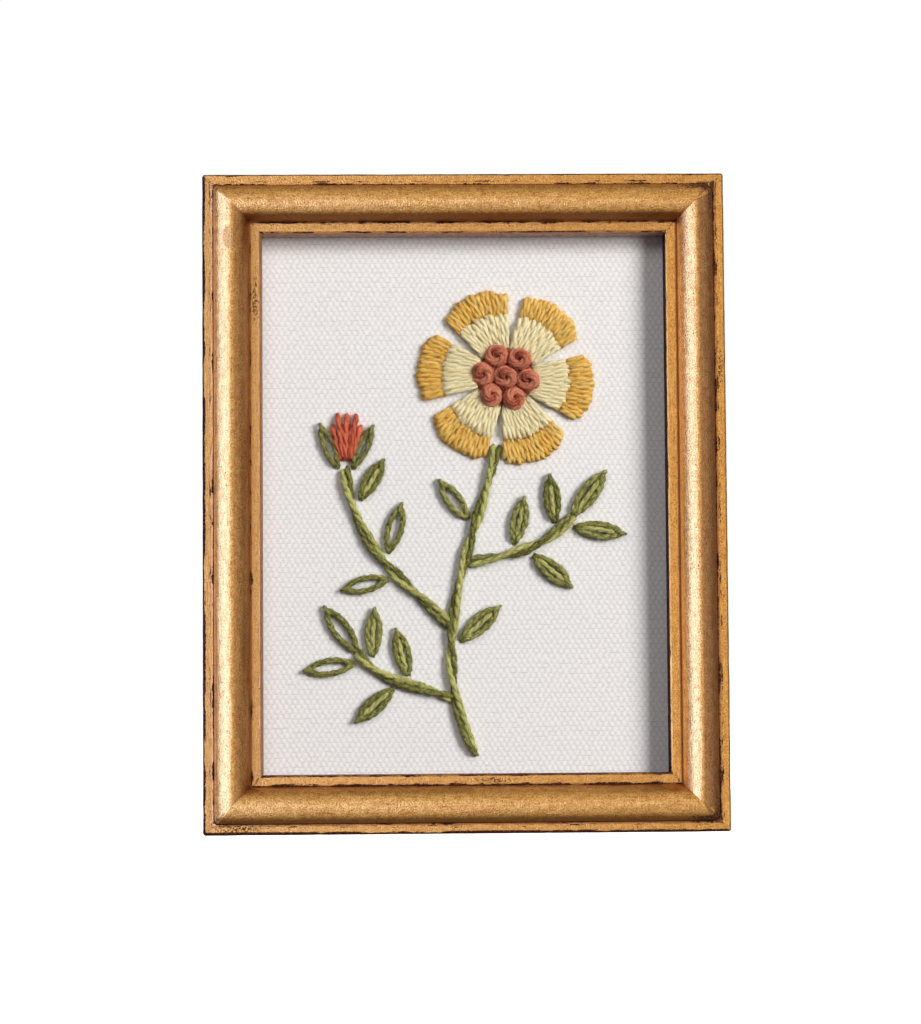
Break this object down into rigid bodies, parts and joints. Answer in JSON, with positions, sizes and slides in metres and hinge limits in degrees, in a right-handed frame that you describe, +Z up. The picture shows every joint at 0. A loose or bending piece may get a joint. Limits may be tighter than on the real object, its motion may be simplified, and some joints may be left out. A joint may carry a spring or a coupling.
{
  "type": "framed embroidery",
  "caption": "Small upright embroidery of a stitched flower sprig on plain-woven cloth, set deep in a distressed gilt half-round frame.",
  "frame": {"origin": "middle of the bottom edge's bounding box, on the surface that the frame stands on", "axes": "+X to the right as seen from the front, +Z up, and the front faces -Y"},
  "size_m": [0.1614, 0.0254, 0.2032],
  "materials": {
    "gilt": "satin gold paint over dark primer and red-brown ground on a wooden moulding, brushed, rubbed through and darkened in the grooves and on the outer edges",
    "linen": "off-white plain-woven cloth with visible rows of weft",
    "board": "plain grey-brown mounting board",
    "yellow_yarn": "pale yellow wool yarn, soft and matte",
    "gold_yarn": "golden yellow wool yarn, soft and matte",
    "terracotta_yarn": "terracotta wool yarn with darker red-brown twists, soft and matte",
    "coral_yarn": "coral wool yarn, soft and matte",
    "olive_yarn": "two-tone olive wool yarn, light and dark plies twisted together, soft and matte"
  },
  "bodies": {
    "root": {"board": "board", "bud": "coral_yarn", "cloth": "linen", "frame_bottom": "gilt", "frame_left": "gilt", "frame_right": "gilt", "frame_top": "gilt", "knot_1": "terracotta_yarn", "knot_2": "terracotta_yarn", "knot_3": "terracotta_yarn", "knot_4": "terracotta_yarn", "knot_5": "terracotta_yarn", "knot_6": "terracotta_yarn", "knot_middle": "terracotta_yarn", "leaf_01": "olive_yarn", "leaf_02": "olive_yarn", "leaf_03": "olive_yarn", "leaf_04": "olive_yarn", "leaf_05": "olive_yarn", "leaf_06": "olive_yarn", "leaf_07": "olive_yarn", "leaf_08": "olive_yarn", "leaf_09": "olive_yarn", "leaf_10": "olive_yarn", "leaf_11": "olive_yarn", "leaf_12": "olive_yarn", "leaf_13": "olive_yarn", "leaf_14": "olive_yarn", "leaf_15": "olive_yarn", "petal_1": "yellow_yarn", "petal_2": "yellow_yarn", "petal_3": "yellow_yarn", "petal_4": "yellow_yarn", "petal_5": "yellow_yarn", "petal_6": "yellow_yarn", "petal_tip_1": "gold_yarn", "petal_tip_2": "gold_yarn", "petal_tip_3": "gold_yarn", "petal_tip_4": "gold_yarn", "petal_tip_5": "gold_yarn", "petal_tip_6": "gold_yarn", "sepal_left": "olive_yarn", "sepal_right": "olive_yarn", "stem_bud": "olive_yarn", "stem_left": "olive_yarn", "stem_main": "olive_yarn", "stem_right": "olive_yarn"}
  },
  "joints": []
}
